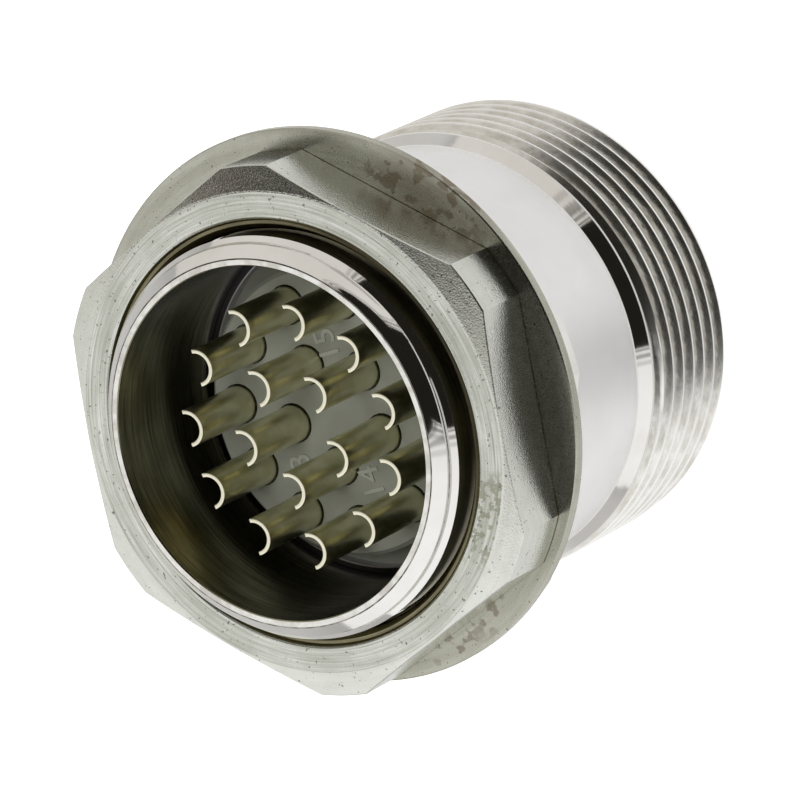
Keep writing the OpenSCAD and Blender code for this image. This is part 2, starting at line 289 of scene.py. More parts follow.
def satin(name, light, shade, stain, roughness, lines, grain, spots, spot_size, speck,
          drawn=False):
    """Dull plate: tool lines, a fine grain, specks, and stains that gather.

    lines and grain are a size and a relief in millimetres. The grain is drawn
    coarser than the real one, about 0.03 mm, which is too fine to show. Each
    spot is a place and a reach in millimetres, with the share of stain that
    tints it all over. A higher speck gives more pits. Drawn stains run along
    the tool lines.
    """
    material, tree = new_material(name)
    place, *lathe = lathe_place(tree)
    marks = tool_marks(tree, *lathe, lines[0], LINE_DRIFT)
    grit = add(tree, "ShaderNodeTexNoise", {
        "Vector": place, "Scale": per_mm(grain[0]), "Detail": 2.0})
    tone = add(tree, MIX, {
        "Factor_Float": add(tree, RANGE, {
            "Value": marks, "From Min": LINE_RANGE[0], "From Max": LINE_RANGE[1]}),
        "A_Color": rgb(light), "B_Color": rgb(shade)}, data_type="RGBA")
    tone = add(tree, MIX, {
        "Factor_Float": add(tree, MATH, {
            0: blotches(tree, place, CLOUD_SIZE, CLOUD_RANGE), 1: CLOUD_SHARE},
            operation="MULTIPLY"),
        "A_Color": tone, "B_Color": rgb(shade)}, data_type="RGBA")
    gathered, tint = STRAY_STAIN, 0.0
    for *spot, reach, share in spots:
        away = add(tree, VECTOR, {0: place, 1: [c * MM for c in spot]},
                   operation="DISTANCE").outputs["Value"]
        near = add(tree, RANGE, {
            "Value": away, "From Min": reach * MM, "From Max": reach * SPOT_CORE * MM},
            interpolation_type="SMOOTHSTEP")
        gathered = add(tree, MATH, {0: near, 1: gathered}, operation="MAXIMUM")
        tint = add(tree, MATH, {0: near, 1: share, 2: tint}, operation="MULTIPLY_ADD")
    tone = add(tree, MIX, {"Factor_Float": tint, "A_Color": tone, "B_Color": rgb(stain)},
               data_type="RGBA")
    if drawn:
        pattern = tool_marks(tree, *lathe, spot_size, STAIN_DRIFT)
    else:
        pattern = add(tree, "ShaderNodeTexNoise", {
            "Vector": place, "Scale": per_mm(spot_size), "Detail": 2.0})
    stains = add(tree, MATH, {
        0: gathered, 1: add(tree, RANGE, {
            "Value": pattern, "From Min": STAIN_RANGE[0], "From Max": STAIN_RANGE[1],
            "To Max": STAIN_SHARE}, interpolation_type="SMOOTHSTEP")},
        operation="MULTIPLY")
    tone = add(tree, MIX, {"Factor_Float": stains, "A_Color": tone, "B_Color": rgb(stain)},
               data_type="RGBA")
    pits = add(tree, MATH, {
        0: blotches(tree, place, PIT_SIZE, (1 - speck, 1 + PIT_EDGE - speck), 1.0),
        1: PIT_SHARE}, operation="MULTIPLY")
    tone = add(tree, MIX, {"Factor_Float": pits, "A_Color": tone, "B_Color": rgb(PIT_TONE)},
               data_type="RGBA")
    lined = add(tree, "ShaderNodeBump", {
        "Strength": 1.0, "Distance": lines[1] * MM, "Height": marks})
    coat = add(tree, "ShaderNodeBsdfPrincipled", {
        "Base Color": tone, "Metallic": 1.0,
        "Roughness": add(tree, RANGE, {
            "Value": grit, "To Min": roughness[0], "To Max": roughness[1]}),
        "Normal": add(tree, "ShaderNodeBump", {
            "Strength": 1.0, "Distance": grain[1] * MM, "Height": grit, "Normal": lined})})
    add(tree, "ShaderNodeOutputMaterial", {"Surface": coat})
    return material


def by_radius(name, inner_r, outer_r, inner, streak, outer, roughness, spacing, drift,
              relief):
    """Plate whose tone changes with the radius, under drawn-out streaks."""
    material, tree = new_material(name)
    _, around, radius, height = lathe_place(tree)
    streaks = tool_marks(tree, around, radius, height, spacing, drift)
    low = add(tree, MIX, {
        "Factor_Float": add(tree, RANGE, {
            "Value": streaks, "From Min": LINE_RANGE[0], "From Max": LINE_RANGE[1]}),
        "A_Color": rgb(inner), "B_Color": rgb(streak)}, data_type="RGBA")
    high = add(tree, RANGE, {
        "Value": radius, "From Min": inner_r * MM, "From Max": outer_r * MM},
        interpolation_type="SMOOTHSTEP")
    coat = add(tree, "ShaderNodeBsdfPrincipled", {
        "Base Color": add(tree, MIX, {
            "Factor_Float": high, "A_Color": low, "B_Color": rgb(outer)}, data_type="RGBA"),
        "Metallic": 1.0,
        "Roughness": add(tree, RANGE, {
            "Value": streaks, "To Min": roughness[0], "To Max": roughness[1]}),
        "Normal": add(tree, "ShaderNodeBump", {
            "Strength": add(tree, MATH, {0: 1.0, 1: high}, operation="SUBTRACT"),
            "Distance": relief * MM, "Height": streaks})})
    add(tree, "ShaderNodeOutputMaterial", {"Surface": coat})
    return material


# Bright nickel on turned brass: a mirror that the lathe has left finely lined.
BRIGHT = plated("nickel_plate_bright_turned", "#f1efec", "#e9e6e2",
                roughness=(0.03, 0.09), spacing=0.16, relief=0.0008)
# Nickel on a fine-turned land: paler and softer, it holds no sharp reflection.
SOFT = plated("nickel_plate_fine_turned", "#f3f2f2", "#eeedec",
              roughness=(0.24, 0.36), spacing=0.12, relief=0.004)
# Nickel on the coupling thread: tool streaks in the grooves, with the crests painted paler
# as a highlight and the grooves painted darker as shade.
THREAD_WITH_PAINTED_CRESTS = by_radius("nickel_plate_cut_thread_painted_crests",
                inner_r=COUPLING_CREST_R - CREST_HIGHLIGHT_BLEND[0],
                outer_r=COUPLING_CREST_R - CREST_HIGHLIGHT_BLEND[1],
                inner="#f1efeb", streak="#d3cfc6", outer="#f7f6f3",
                roughness=(0.16, 0.3), spacing=0.16, drift=9.0, relief=0.02)
# Nickel in a deep bore: olive and dark, the dark being painted shade of the bore, with
# brown stain lines near the rim.
SHADED_BORE = satin("nickel_plate_bored_stained_painted_shade", "#b3b09a", "#6a6856", "#8f7c52",
             roughness=(0.16, 0.28), lines=(0.2, 0.005), grain=(0.1, 0.0005),
             spots=[(-8.0, -4.2, 4.6, 2.8, 0.1)], spot_size=0.16, speck=0.2, drawn=True)
# Nickel in the nut's countersink and in the gap above the nut: coarse tool lines full of
# olive stain, under a dark tone that is partly painted shade.
STAINED_SHADED_SINK = satin("nickel_plate_countersunk_stained_painted_shade", "#aaa384", "#625e49", "#3a3524",
             roughness=(0.3, 0.5), lines=(0.1, 0.006), grain=(0.1, 0.002),
             spots=[], spot_size=0.5, speck=0.25)
# Nickel on the narrow flat of the rim: bright, with dull nicks.
NICKED = plated("nickel_plate_rim_nicked", "#f1efeb", "#cfccc5",
                roughness=(0.1, 0.25), spacing=0.16, relief=0.001, patch=0.9)
# Edges drawn as a dark grey line.
DARK_LINED_EDGE = plated("nickel_plate_edge_dark_line", "#a5a29a", "#55524a",
              roughness=(0.2, 0.4), spacing=0.1, relief=0.001, patch=0.6)
# Satin nickel on the nut's faced end: grey-green, lined by the facing tool.
FACED = satin("nickel_plate_satin_faced", "#edefe8", "#b0b2a7", "#86856d",
              roughness=(0.2, 0.32), lines=(0.12, 0.006), grain=(0.06, 0.003),
              spots=[(9.3, -6.4, 4.1, 3.0, 0.0), (10.2, -5.6, 4.1, 2.0, 0.08)],
              spot_size=0.35, speck=0.31)
# Satin nickel on the hexagon: tumbled, with a sparkling grain.
TUMBLED = satin("nickel_plate_satin_tumbled", "#e4e6df", "#d8dad2", "#8d8271",
                roughness=(0.15, 0.28), lines=(0.3, 0.0003), grain=(0.09, 0.012),
                spots=[], spot_size=0.8, speck=0.3)
# Dull nickel on the punched washer: grey-green, with brown spots in clusters.
PUNCHED = satin("nickel_plate_dull_punched", "#c5c5ba", "#aaa99b", "#6f624c",
                roughness=(0.2, 0.32), lines=(0.4, 0.001), grain=(0.1, 0.0015),
                spots=[(2.5, -11.6, 0.6, 2.6, 0.0), (4.9, -10.6, 0.6, 2.2, 0.0),
                       (10.3, 8.9, 0.6, 4.4, 0.25), (8.6, 9.7, 0.6, 3.6, 0.15)],
                spot_size=0.75, speck=0.3)
# Spring steel of the retaining ring: dark, with a painted highlight along its inner edge.
SPRING = by_radius("spring_steel_painted_edge_highlight",
                   inner_r=RING_HIGHLIGHT_R[0], outer_r=RING_HIGHLIGHT_R[1],
                   inner="#d6d3de", streak="#c4c1cc", outer="#3c3b40",
                   roughness=(0.2, 0.4), spacing=0.2, drift=3.0, relief=0.004)


# ---------------------------------------------------------------- meshes

def column_angles(breaks=(), step=COLUMN_STEP_DEG):
    """Angles round the axis, in radians; the breaks and the step are in degrees."""
    angles = list(np.arange(0, 360, step))
    for b in breaks:
        b %= 360
        near = [a for a in angles
                if abs((a - b + 180) % 360 - 180) < step * 0.4]
        angles = [a for a in angles if a not in near] + [b]
    return np.radians(np.sort(np.array(angles)))


def hexagon_radius(angles, corner_deg):
    """Radius of a hexagon with turned-off corners at each angle."""
    from_flat = (angles - math.radians(corner_deg + 30) + math.pi / 6) \
        % (math.pi / 3) - math.pi / 6
    return np.minimum(HEX_FLAT_R / np.cos(from_flat), HEX_CORNER_R)


def hexagon_breaks(corner_deg):
    """Angles of the corners, of their turned-off ends and of the flats' middles."""
    half = 30 - math.degrees(math.acos(HEX_FLAT_R / HEX_CORNER_R))
    return [corner_deg + 60 * k + s * half for k in range(6) for s in (-1, 1)] \
        + [corner_deg + 60 * k for k in range(6)] \
        + [corner_deg + 30 + 60 * k for k in range(6)]


# In metres: points that are one, and edges too short to keep.
MERGE_M, SLIVER_M = 2e-7, 1e-8


def finish_mesh(obj, sharp_deg=TURNED_SHARP_DEG):
    """Merges doubles, turns faces outwards and smooths all but the edges."""
    work = bmesh.new()
    work.from_mesh(obj.data)
    bmesh.ops.remove_doubles(work, verts=work.verts, dist=MERGE_M)
    bmesh.ops.dissolve_degenerate(work, edges=work.edges, dist=SLIVER_M)
    bmesh.ops.recalc_face_normals(work, faces=work.faces)
    work.to_mesh(obj.data)
    work.free()
    obj.data.shade_smooth()
    obj.data.set_sharp_from_angle(angle=math.radians(sharp_deg))
    return obj


def new_object(name, data):
    """An object at the origin that shows the given mesh, curve, lamp or camera."""
    obj = bpy.data.objects.new(name, data)
    SCENE.collection.objects.link(obj)
    return obj


def turned(name, profile, angles, edge, centre=(0, 0)):
    """A closed profile carried round the axis, with every corner eased.

    Each point of the profile is a radius, a height, the material of the band
    that follows it and, if it differs, that of the eased corner. A radius or
    height may differ round the axis.
    """
    count = len(angles)
    points = np.array([[np.broadcast_to(r, count), np.broadcast_to(z, count)]
                       for r, z, *_ in profile]).transpose(0, 2, 1)
    rows, finishes = [], []
    for i, (_, _, finish, *corner) in enumerate(profile):
        here, before = points[i], points[i - 1]
        after = points[(i + 1) % len(points)]
        for other, band in ((before, (corner or [finish])[0]), (after, finish)):
            span = np.linalg.norm(other - here, axis=1, keepdims=True)
            reach = np.minimum(edge, span / 3)
            rows.append(here + (other - here) / np.maximum(span, 1e-9) * reach)
            finishes.append(band)
    rows = np.array(rows)
    xyz = np.stack([rows[..., 0] * np.cos(angles) + centre[0],
                    rows[..., 0] * np.sin(angles) + centre[1],
                    rows[..., 1]], -1).reshape(-1, 3) * MM
    faces, slots = [], []
    materials = list(dict.fromkeys(finishes))
    for i in range(len(rows)):
        j = (i + 1) % len(rows)
        for c in range(count):
            d = (c + 1) % count
            faces.append((i * count + c, i * count + d, j * count + d, j * count + c))
            slots.append(materials.index(finishes[i]))
    mesh = bpy.data.meshes.new(name)
    mesh.from_pydata(xyz.tolist(), [], faces)
    for material in materials:
        mesh.materials.append(material)
    mesh.polygons.foreach_set("material_index", slots)
    return finish_mesh(new_object(name, mesh))


def join(obj, *others):
    """Adds other meshes to an object's own, with their materials."""
    work = bmesh.new()
    work.from_mesh(obj.data)
    for other in others:
        start = len(work.faces)
        work.from_mesh(other.data)
        work.faces.ensure_lookup_table()
        finishes = list(other.data.materials)
        for face in work.faces[start:]:
            material = finishes[face.material_index]
            if material.name not in obj.data.materials:
                obj.data.materials.append(material)
            face.material_index = obj.data.materials.find(material.name)
        bpy.data.objects.remove(other)
    work.to_mesh(obj.data)
    work.free()
    return obj


def evaluated(obj, name):
    """The object with its modifiers made a plain mesh."""
    bpy.context.view_layer.update()
    graph = bpy.context.evaluated_depsgraph_get()
    mesh = bpy.data.meshes.new_from_object(obj.evaluated_get(graph))
    mesh.name = name
    bpy.data.objects.remove(obj)
    return new_object(name, mesh)


# ---------------------------------------------------------------- node trees

def geometry_tree(name, inputs):
    """A geometry tree with named inputs and no nodes yet; returns it and them."""
    tree = bpy.data.node_groups.new(name, "GeometryNodeTree")
    tree.interface.new_socket("Geometry", in_out="INPUT",
                              socket_type="NodeSocketGeometry")
    for title, kind in inputs.items():
        tree.interface.new_socket(title, in_out="INPUT", socket_type="NodeSocket" + kind)
    tree.interface.new_socket("Geometry", in_out="OUTPUT",
                              socket_type="NodeSocketGeometry")
    return tree, add(tree, "NodeGroupInput").outputs


def close_tree(tree, geometry, material):
    """Ends a geometry tree in real geometry of one material."""
    real = add(tree, "GeometryNodeRealizeInstances", {"Geometry": geometry})
    coated = add(tree, "GeometryNodeSetMaterial", {"Geometry": real, "Material": material})
    add(tree, "NodeGroupOutput", {"Geometry": coated})
    return tree


def grown(name, tree, values, start=None):
    """Runs a geometry tree with its inputs set and keeps a plain mesh."""
    obj = new_object(name + "_work", start or bpy.data.meshes.new(name + "_work"))
    modifier = obj.modifiers.new("grow", "NODES")
    modifier.node_group = tree
    for item in tree.interface.items_tree:
        if item.item_type == "SOCKET" and item.in_out == "INPUT" \
                and item.name in values:
            modifier[item.identifier] = values[item.name]
    return evaluated(obj, name)


def screw_thread_tree():
    """A thread as a closed sleeve: a sheared grid whose rows follow the helix."""
    tree, given = geometry_tree("screw_thread", {
        "Crest radius": "Float", "Root radius": "Float", "Wall radius": "Float",
        "Pitch": "Float", "Bottom": "Float", "Top": "Float", "First crest": "Float",
        "Bottom lead": "Float", "Top lead": "Float", "Internal": "Bool",
        "Columns": "Int", "Thread rows": "Int", "Material": "Material"})
    crest, root, wall = (given[k] for k in ("Crest radius", "Root radius", "Wall radius"))
    bottom, top, rows = given["Bottom"], given["Top"], given["Thread rows"]

    last = add(tree, MATH, {0: rows, 1: 2.0}, operation="ADD")
    grid = add(tree, "GeometryNodeMeshGrid", {
        "Size X": 1.0, "Size Y": last,
        "Vertices X": add(tree, MATH, {0: given["Columns"], 1: 1.0}, operation="ADD"),
        "Vertices Y": add(tree, MATH, {0: rows, 1: 3.0}, operation="ADD")})
    place = add(tree, "ShaderNodeSeparateXYZ", {0: add(tree, "GeometryNodeInputPosition")})
    turn = add(tree, MATH, {0: place.outputs["X"], 1: 0.5}, operation="ADD")
    row = add(tree, MATH, {0: last, 1: 0.5, 2: place.outputs["Y"]},
              operation="MULTIPLY_ADD")
    row = add(tree, MATH, {0: row}, operation="ROUND")
    # Rows 1 and up follow the helix; the first and last rows close the sleeve.
    step = add(tree, MATH, {0: row, 1: 1.0}, operation="SUBTRACT")
    step = add(tree, MATH, {0: step, 1: float(ROWS_PER_PITCH)}, operation="DIVIDE")
    rise = add(tree, MATH, {0: step, 1: turn}, operation="ADD")
    rise = add(tree, MATH, {0: rise, 1: given["Pitch"], 2: given["First crest"]},
               operation="MULTIPLY_ADD")
    height = add(tree, "ShaderNodeClamp", {"Value": rise, "Min": bottom, "Max": top})
    # Share of the depth at this row.
    off_crest = add(tree, MATH, {0: step, 1: 0.5}, operation="PINGPONG")
    share = add(tree, RANGE, {
        "Value": off_crest, "From Min": FLANK[0], "From Max": FLANK[1],
        "To Min": 1.0, "To Max": 0.0})
    depth = add(tree, MATH, {0: crest, 1: root}, operation="SUBTRACT")
    cut = add(tree, MATH, {0: share, 1: depth}, operation="MULTIPLY")
    # The lead turns down the first and last crests.
    from_bottom = add(tree, MATH, {0: height, 1: bottom}, operation="SUBTRACT")
    from_top = add(tree, MATH, {0: top, 1: height}, operation="SUBTRACT")
    lead = add(tree, MATH, {
        0: add(tree, MATH, {0: from_bottom, 1: given["Bottom lead"]}, operation="MULTIPLY"),
        1: add(tree, MATH, {0: from_top, 1: given["Top lead"]}, operation="MULTIPLY")},
        operation="MINIMUM")
    lead = add(tree, MATH, {0: lead, 1: depth}, operation="MINIMUM")
    opened = add(tree, MATH, {0: depth, 1: lead}, operation="SUBTRACT")
    cut = add(tree, "GeometryNodeSwitch", {
        "Switch": given["Internal"],
        "False": add(tree, MATH, {0: cut, 1: lead}, operation="MINIMUM"),
        "True": add(tree, MATH, {0: cut, 1: opened}, operation="MAXIMUM")},
        input_type="FLOAT")
    cut = add(tree, MATH, {0: root, 1: cut}, operation="ADD")
    after_first = add(tree, MATH, {0: row, 1: 0.5}, operation="GREATER_THAN")
    at_last = add(tree, MATH, {
        0: row, 1: add(tree, MATH, {0: rows, 1: 0.5}, operation="ADD")},
        operation="GREATER_THAN")
    threaded = add(tree, MATH, {0: after_first, 1: at_last}, operation="SUBTRACT")
    end = add(tree, "GeometryNodeSwitch", {
        "Switch": at_last, "False": bottom, "True": top}, input_type="FLOAT")
    radius = add(tree, "GeometryNodeSwitch", {
        "Switch": threaded, "False": wall, "True": cut}, input_type="FLOAT")
    height = add(tree, "GeometryNodeSwitch", {
        "Switch": threaded, "False": end, "True": height}, input_type="FLOAT")
    angle = add(tree, MATH, {0: turn, 1: 2 * math.pi}, operation="MULTIPLY")
    spot = add(tree, "ShaderNodeCombineXYZ", {
        0: add(tree, MATH, {
            0: radius, 1: add(tree, MATH, {0: angle}, operation="COSINE")},
            operation="MULTIPLY"),
        1: add(tree, MATH, {
            0: radius, 1: add(tree, MATH, {0: angle}, operation="SINE")},
            operation="MULTIPLY"),
        2: height})
    bent = add(tree, "GeometryNodeSetPosition",
               {"Geometry": grid.outputs["Mesh"], "Position": spot})
    closed = add(tree, "GeometryNodeMergeByDistance",
                 {"Geometry": bent, "Distance": SEAM * MM})
    return close_tree(tree, closed, given["Material"])


SCREW_THREAD = screw_thread_tree()


def screw_thread(name, crest, root, wall, bottom, top, crest_z, leads, material,
                 internal=False):
    """A right-hand thread between two heights, with a crest at crest_z."""
    first = crest_z - PITCH * (math.ceil((crest_z - bottom) / PITCH) + 1)
    rows = ROWS_PER_PITCH * math.ceil((top - first) / PITCH) + 1
    obj = grown(name, SCREW_THREAD, {
        "Crest radius": crest * MM, "Root radius": root * MM, "Wall radius": wall * MM,
        "Pitch": PITCH * MM, "Bottom": bottom * MM, "Top": top * MM,
        "First crest": first * MM, "Bottom lead": leads[0], "Top lead": leads[1],
        "Internal": internal, "Columns": THREAD_COLUMNS, "Thread rows": rows,
        "Material": material})
    return finish_mesh(obj, THREAD_SHARP_DEG)


# ---------------------------------------------------------------- shell

shoulder_angles = column_angles(hexagon_breaks(0))
shoulder_r = hexagon_radius(shoulder_angles, 0)
shoulder_drop = (shoulder_r - HEX_FACE_R) * HEX_BEVEL

# The rim was knocked on one side: its bevel lies lower there and swells.
from_knock = (np.degrees(shoulder_angles) - RIM_KNOCK_DEG + 180) % 360 - 180
knocked = np.cos(np.clip(from_knock / RIM_KNOCK_REACH_DEG, -1, 1) * math.pi / 2) ** 2
rim_bevel = [(RIM_FLAT_R + t * (RIM_BEVEL_R - RIM_FLAT_R),
              RIM_Z - t * (RIM_Z - RIM_BEVEL_Z + RIM_KNOCK_DROP * knocked)
              + 4 * t * (1 - t) * RIM_KNOCK_SWELL * knocked, BRIGHT)
             for t in np.linspace(0, 1, RIM_BEVEL_ROWS + 1)[1:]]
shell = turned("shell_turned", [
    (REAR_BORE_R, RIM_Z, NICKED, SHADED_BORE),
    (RIM_FLAT_R, RIM_Z, BRIGHT, DARK_LINED_EDGE),
    *rim_bevel,
    (RIM_STEP_R, RIM_STEP_Z, BRIGHT),
    # The rim's foot and the wall below it, in the gap above the nut, take the dark
    # countersink finish as painted shade.
    (RIM_FOOT_R, RIM_FOOT_Z, STAINED_SHADED_SINK, BRIGHT),
    (NUT_CORE_R, RIM_FOOT_Z, STAINED_SHADED_SINK),
    (NUT_CORE_R, NECK_FOOT_Z, BRIGHT),
    (NUT_CORE_R, 0.0, BRIGHT),
    (HEX_FACE_R, 0.0, BRIGHT),
    (shoulder_r, -shoulder_drop, BRIGHT),
    (shoulder_r, -SHOULDER_T + shoulder_drop, BRIGHT),
    (HEX_FACE_R, -SHOULDER_T, BRIGHT),
    (BODY_R, -SHOULDER_T, SOFT),
    (BODY_R, COLLAR_Z[0], BRIGHT),
    (COLLAR_R, COLLAR_Z[1], BRIGHT),
    (COLLAR_R, COUPLING_TOP_Z, BRIGHT),
    (COUPLING_CORE_R, COUPLING_TOP_Z, BRIGHT),
    (COUPLING_CORE_R, FRONT_Z, BRIGHT),
    (SOCKET_R + SOCKET_BEVEL, FRONT_Z, BRIGHT),
    (SOCKET_R, FRONT_Z + SOCKET_BEVEL, BRIGHT),
    (SOCKET_R, LIP_FRONT_Z, BRIGHT),
    (LIP_R, LIP_FRONT_Z, BRIGHT),
    (LIP_R, LIP_BACK_Z, SHADED_BORE),
    (REAR_BORE_R, LIP_BACK_Z, SHADED_BORE),
    (REAR_BORE_R, GROOVE_Z[0], SHADED_BORE),
    (GROOVE_R, GROOVE_Z[0], SHADED_BORE),
    (GROOVE_R, GROOVE_Z[1], SHADED_BORE),
    (REAR_BORE_R, GROOVE_Z[1], SHADED_BORE),
], shoulder_angles, TURNED_EDGE)


def inward_bar(name, tip_r, wall_r, width, heights, material):
    """A bar on the -X side of a bore, with eased edges."""
    work = bmesh.new()
    bmesh.ops.create_cube(work, size=1)
    middle = Vector((-(tip_r + wall_r) / 2, 0, sum(heights) / 2))
    for vert in work.verts:
        vert.co = (Vector((vert.co.x * (wall_r - tip_r), vert.co.y * width,
                           vert.co.z * (heights[1] - heights[0]))) + middle) * MM
    bmesh.ops.bevel(work, geom=work.edges, offset=BAR_EDGE * MM, segments=2, profile=0.5,
                    affect="EDGES")
    mesh = bpy.data.meshes.new(name)
    work.to_mesh(mesh)
    work.free()
    mesh.materials.append(material)
    return finish_mesh(new_object(name, mesh), BAR_SHARP_DEG)


shell = join(
    shell,
    inward_bar("coding_rib", SOCKET_R - RIB_H, SOCKET_R + BAR_ROOT, RIB_W, RIB_Z, BRIGHT),
    inward_bar("lip_tab", LIP_R - TAB_H, LIP_R + BAR_ROOT, TAB_W,
               (LIP_FRONT_Z, LIP_BACK_Z), BRIGHT))

coupling_thread = screw_thread(
    "coupling_thread", COUPLING_CREST_R, COUPLING_ROOT_R, COUPLING_ROOT_R - SLEEVE_INSET,
    FRONT_Z, COUPLING_TOP_Z, COUPLING_CREST_Z, COUPLING_LEADS, THREAD_WITH_PAINTED_CRESTS)
nut_thread = screw_thread(
    "nut_thread", NUT_CREST_R, NUT_ROOT_R, NUT_ROOT_R - SLEEVE_INSET,
    0.0, NUT_THREAD_TOP_Z, NUT_CREST_Z, NUT_LEADS, BRIGHT)


# ---------------------------------------------------------------- nut, washer

nut_angles = column_angles(hexagon_breaks(NUT_CORNER_DEG))
nut_r = hexagon_radius(nut_angles, NUT_CORNER_DEG)
nut_drop = (nut_r - HEX_FACE_R) * HEX_BEVEL
nut = turned("nut_hexagon", [
    (NUT_SINK_R, NUT_Z[1] - NUT_SINK_ROUND, STAINED_SHADED_SINK),
    (NUT_SINK_R + NUT_SINK_ROUND, NUT_Z[1], FACED),
    (HEX_FACE_R, NUT_Z[1], TUMBLED),
    (nut_r, NUT_Z[1] - nut_drop, TUMBLED),
    (nut_r, NUT_Z[0], TUMBLED, STAINED_SHADED_SINK),
    (NUT_SINK_R, NUT_Z[0], STAINED_SHADED_SINK),
    (NUT_BORE_R, NUT_Z[0] + NUT_SINK, STAINED_SHADED_SINK),
    (NUT_BORE_R, NUT_Z[1] - NUT_SINK, STAINED_SHADED_SINK),
], nut_angles, TURNED_EDGE)
nut_inner_thread = screw_thread(
    "nut_inner_thread", NUT_CREST_R + THREAD_PLAY, NUT_ROOT_R + THREAD_PLAY,
    NUT_BORE_R + NUT_SLEEVE_INSET, NUT_Z[0] + NUT_SLEEVE_END, NUT_Z[1] - NUT_SLEEVE_END,
    NUT_CREST_Z, NUT_INNER_LEADS, STAINED_SHADED_SINK, internal=True)

washer = turned("washer_punched", [
    (WASHER_HOLE_R, WASHER_Z[1], PUNCHED),
    (WASHER_R, WASHER_Z[1], PUNCHED),
    (WASHER_R, WASHER_Z[0], PUNCHED),
    (WASHER_HOLE_R, WASHER_Z[0], PUNCHED),
], column_angles(), PUNCHED_EDGE, WASHER_SLIP)


# ---------------------------------------------------------------- contacts

# Gold flash on turned brass: pale yellow, softly bright, and paler at the cups' tips.
GOLD = plated("gold_flash_turned_brass", "#e9e6ca", "#dad6b0",
              roughness=(0.24, 0.38), spacing=0.1, relief=0.0006, patch=1.0,
              tip=(CUP_TIP_Z - CUP_PALE_TIP, "#f5f1da"))


def solder_contact(material):
    """One contact on the axis, its cup open towards -X."""
    columns = CONTACT_COLUMNS
    angles = np.radians(np.arange(columns) * 360 / columns)
    quarter = columns // 4
    kept = list(range(-quarter, quarter + 1))
    x = (CUP_R + CUP_BORE_R) / 2 * np.cos(angles)
    spoon_z = CUP_HEEL_Z + HEEL_FILLET
    heel = np.where(
        x >= -1e-9, spoon_z,
        spoon_z - np.sqrt(np.clip(
            HEEL_FILLET ** 2 - (HEEL_FILLET + np.maximum(x, -HEEL_FILLET)) ** 2, 0, None)))
    work = bmesh.new()

    def ring(r, z, which=range(columns)):
        """Points of the given columns at one radius, by column."""
        z = np.broadcast_to(z, columns)
        return {c: work.verts.new((r * math.cos(angles[c]) * MM,
                                   r * math.sin(angles[c]) * MM, z[c] * MM))
                for c in which}

    def skin(low, high, which):
        """Faces between two rings, along the given columns."""
        for c, d in zip(which[:-1], which[1:]):
            work.faces.new((low[c], low[d], high[d], high[c]))

    around = list(range(columns)) + [0]
    nose = [math.radians(a) for a in NOSE_DEG]
    below = [(PIN_R * math.sin(a), PIN_TIP_Z + PIN_R * (1 - math.cos(a))) for a in nose]
    below += [(PIN_R, PIN_TOP_Z), (SHANK_R, PIN_TOP_Z + SHANK_STEP), (SHANK_R, BEAD_Z[0]),
              (BEAD_R, BEAD_Z[0]), (BEAD_R, BEAD_Z[1]), (CUP_R, BEAD_Z[1]), (CUP_R, 0.0)]
    walls = []
    for r, rows, pole_z in (
            (CUP_R, below, PIN_TIP_Z),
            (CUP_BORE_R, [(CUP_BORE_R, CUP_FLOOR_Z)], CUP_FLOOR_Z - DRILL_POINT)):
        rings = [ring(*row) for row in rows]
        rings += [ring(r, CUP_BEND_Z + t * (heel - CUP_BEND_Z))
                  for t in (0, 1 / 3, 2 / 3, 1)]
        tip = work.verts.new((0, 0, pole_z * MM))
        for c in range(columns):
            work.faces.new((tip, rings[0][(c + 1) % columns], rings[0][c]))
        for low, high in zip(rings[:-1], rings[1:]):
            skin(low, high, around)
        heel_ring = rings[-1]
        spoon = [{c: heel_ring[c % columns] for c in kept}]
        for t in (0.25, 0.5, 0.75, 1.0):
            spoon.append(ring(r, spoon_z + t * (CUP_TIP_Z - spoon_z), kept))
        for low, high in zip(spoon[:-1], spoon[1:]):
            skin(low, high, kept)
        walls.append((heel_ring, spoon))
    (heel_out, spoon_out), (heel_in, spoon_in) = walls
    back = list(range(quarter, columns - quarter + 1))
    skin({c: heel_out[c] for c in back}, {c: heel_in[c] for c in back}, back)
    skin(spoon_out[-1], spoon_in[-1], kept)
    for c in (kept[0], kept[-1]):
        for i in range(len(spoon_out) - 1):
            work.faces.new((spoon_out[i][c], spoon_out[i + 1][c],
                            spoon_in[i + 1][c], spoon_in[i][c]))
    bmesh.ops.recalc_face_normals(work, faces=work.faces)
    sharp = [e for e in work.edges if len(e.link_faces) == 2
             and e.calc_face_angle() > math.radians(CUP_EDGE_DEG)
             and min(v.co.z for v in e.verts) > CUP_EDGE_Z * MM]
    bmesh.ops.bevel(work, geom=sharp, offset=CUP_EDGE * MM, segments=2, profile=0.6,
                    affect="EDGES", clamp_overlap=True)
    mesh = bpy.data.meshes.new("solder_contact")
    work.to_mesh(mesh)
    work.free()
    mesh.materials.append(material)
    mesh.shade_smooth()
    mesh.set_sharp_from_angle(angle=math.radians(CONTACT_SHARP_DEG))
    return mesh


